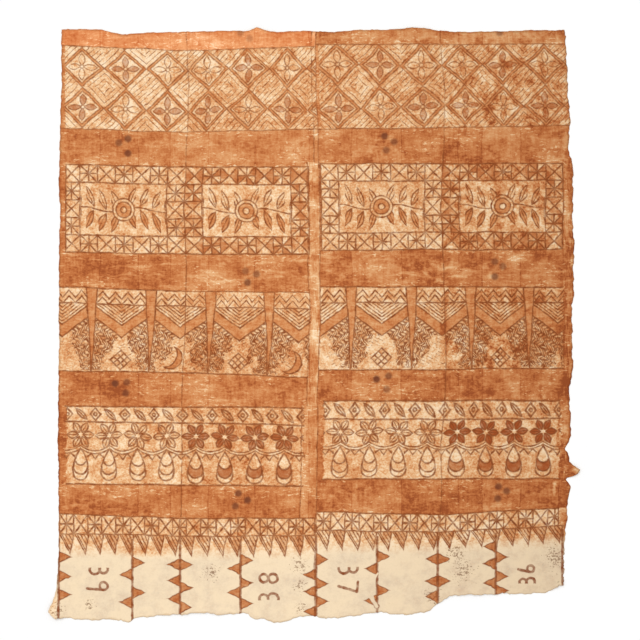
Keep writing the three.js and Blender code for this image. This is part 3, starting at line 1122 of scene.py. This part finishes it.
def dyedBark(name, draw, row, dotTable, stainTable):
    brush = Brush(name)
    at = Places(brush)
    drawn = draw(brush, at, row)
    grain = Grain(brush, at.ground)
    mottle, cloud, speck, press = grain.mottle, grain.cloud, grain.speck, grain.press
    panel = below(drawn["walls"], 0, 5)

    # how much rust lies where
    coat = speck * 0.42 + grain.rub * 0.55 + grain.streak * 0.3 - grain.drag * row["drag"]
    fourth = at.second & at.onRight * row["blotch"]
    bandDye = bandRust(brush, at, grain, coat, row, drawn["walls"]) + fourth * mottle * 0.5
    washDye = drawn["wash"] + speck * 1.5 + cloud * 1.2 + mottle * 0.8 + grain.rub * 0.5
    washDye = washDye + fourth * (mottle * 0.9 + cloud * 0.6)
    rustDye = cloud * 0.6 + coat + 0.74
    if "orange" in drawn:
        bandDye = bandDye - drawn["orange"] * 0.12
    dye = bandDye + (washDye - bandDye) * panel
    dye = dye + (rustDye - dye) * (drawn["rust"] & panel * 0.9)
    for x, y, wide, high, rust in stainTable:
        stain = below(radius((at.x - x) / wide, (at.y - y) / high) + cloud * 2.5, 0.7, 0.9)
        dye = dye + stain * rust
        if "bare" in drawn:
            drawn["bare"] = drawn["bare"] * (1 - stain)

    # colours, one over the other
    colour = brush.ramp(dyeStops, dye)
    if "orange" in drawn:
        colour = brush.tint(drawn["orange"], colour, finish["orangeTint"])
    seamLine = abs(at.across - row["seamFrom"] + cloud * 8) + at.onRight * away
    if "bare" in drawn:
        colour = paintBorder(brush, at, grain, drawn["bare"] * (1 - drawn["rust"]), colour)
        seamLine = seamLine + drawn["bare"] * away
    if "fill" in drawn:
        colour = brush.mix((drawn["fill"] & panel) * (cloud + 0.85), colour, dyes["fill"])
    mask = steep(press * 4.5 + row["lineHalf"] - drawn["lines"], 1 / finish["lineSoft"], 0.5)
    # painted shade: dark lines along the three folds, where the sheet is creased, are drawn in the line
    # colour together with the seam line
    creaseShade = [abs(at.u - even[fold]) for fold in ("leftFold", "seam", "rightFold")]
    mask = mask | (below(nearest(*creaseShade, seamLine), 2.4, 3) * (press * 2 + 0.8))
    colour = brush.mix(mask * (press * 1.2 + row["ink"]), colour, dyes["line"])
    if dotTable:
        spots = [below(brush.distance(at.drawnSpot, x, y), dotRadius, 9) * dark for x, y, dark in dotTable]
        colour = brush.mix(clipped(*spots) * (cloud * 0.6 + 1), colour, dyes["dot"])
    # painted shade: the colour is darkened in a ragged band along the torn edge of the sheet
    paintedEdgeShade = below(at.fromEdge + cloud * 22 + speck * 14, 5, 6)
    colour = brush.tint(paintedEdgeShade * row["edgeWear"], colour, finish["edgeShadeTint"])
    # painted shade: the colour darkens towards the right side, standing in for light that falls off across
    # the cloth
    tone = steep(at.x - finish["paintedShadeFrom"], 1 / finish["paintedShadeReach"], 0)
    return closeBark(brush, brush.tint(tone, colour, finish["paintedShadeDepth"]), at.ground)


def bareBark(name):
    brush = Brush(name)
    ground = brush.node("ShaderNodeTexCoord", {}, {}).outputs["Object"]
    mottle = brush.noise(ground, 9.0, 4.0, 0.6)
    fibre = brush.noise(brush.vector("MULTIPLY", ground, (40, 200, 40)), 1.0, 3.0)
    tone = (mottle - 0.5) * 2.0 + (fibre - 0.5) * 1.2 + 0.4
    stops = [(0.0, dyes["border"]), (0.5, dyes["backBark"]), (1.0, dyes["tan"])]
    return closeBark(brush, brush.ramp(stops, tone), ground)


# Building the cloth

cloth = layGrid()
printDesign(cloth)
drawings = [
    ("lozengeZone", drawLozenges, lozengeRow),
    ("frameZone", drawFrames, frameRow),
    ("taperZone", drawTapers, taperRow),
    ("flowerZone", drawFlowers, flowerRow),
    ("hemZone", drawHem, hemRow),
]
for (name, draw, row), dotTable, stainTable in zip(drawings, dots, stains):
    cloth.data.materials.append(dyedBark(name, draw, row, dotTable, stainTable))
cloth.data.materials.append(bareBark("backOfCloth"))
print("dyes mixed, nodes", [len(m.node_tree.nodes) for m in cloth.data.materials])

bpy.ops.object.shade_smooth()
solidify = cloth.modifiers.new("thickness", "SOLIDIFY")
solidify.thickness = sheet["thickness"] * milli
solidify.offset = -1
solidify.material_offset = len(drawings)
solidify.material_offset_rim = len(drawings)
bpy.ops.object.modifier_apply(modifier="thickness")
print("sheet has", sum(len(p.vertices) - 2 for p in cloth.data.polygons), "triangles")

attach(cloth, "root")
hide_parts("bark_cloth")

# Floor, light and camera

studio = {
    "floorSize": 40,
    "floorDull": (0.975, 0.975, 0.975, 1),
    "floorBright": (0.985, 0.985, 0.985, 1),
    "floorRoughness": 0.9,
    "cameraHeight": 6.0,
    "sensor": 36,
    "clipEnd": 100,
    "frameWidth": 2.557,  # metres of floor across the picture
    "frameMiddle": (0.0229, 0.0207),
    "skyStrength": 0.8,
    "sunShare": 0.285,
    "sunTurn": (math.radians(-32), math.radians(-18), 0),
    "sunSoftness": math.radians(40),
}


def paleFloor():
    brush = Brush("paleFloor")
    ground = brush.node("ShaderNodeTexCoord", {}, {}).outputs["Object"]
    grain = brush.noise(ground, 3.0, 2.0)
    colour = brush.mix(grain, studio["floorDull"], studio["floorBright"])
    return closeMaterial(brush, colour, studio["floorRoughness"], 0.0, {})


bpy.ops.object.select_all(action="DESELECT")
bpy.ops.mesh.primitive_plane_add(size=studio["floorSize"], location=(0, 0, 0))
floor = bpy.context.active_object
floor.name = "paleFloor"
floor.data.materials.append(paleFloor())

world = bpy.data.worlds.new("studio")
bpy.context.scene.world = world
world.use_nodes = True
sky = world.node_tree.nodes["Background"].inputs
sky["Color"].default_value = (1, 1, 1, 1)
sky["Strength"].default_value = studio["skyStrength"]
bpy.ops.object.light_add(type="SUN", location=(0, 0, 5), rotation=studio["sunTurn"])
sun = bpy.context.active_object
sun.name = "softSun"
sun.data.energy = studio["sunShare"] * math.pi
sun.data.angle = studio["sunSoftness"]

bpy.ops.object.camera_add(location=(*studio["frameMiddle"], studio["cameraHeight"]), rotation=(0, 0, 0))
camera = bpy.context.active_object
camera.name = "camera"
camera.data.sensor_width = studio["sensor"]
camera.data.lens = studio["sensor"] * studio["cameraHeight"] / studio["frameWidth"]
camera.data.clip_end = studio["clipEnd"]
bpy.context.scene.camera = camera
bpy.context.scene.view_settings.view_transform = "Standard"
bpy.context.scene.view_settings.look = "None"
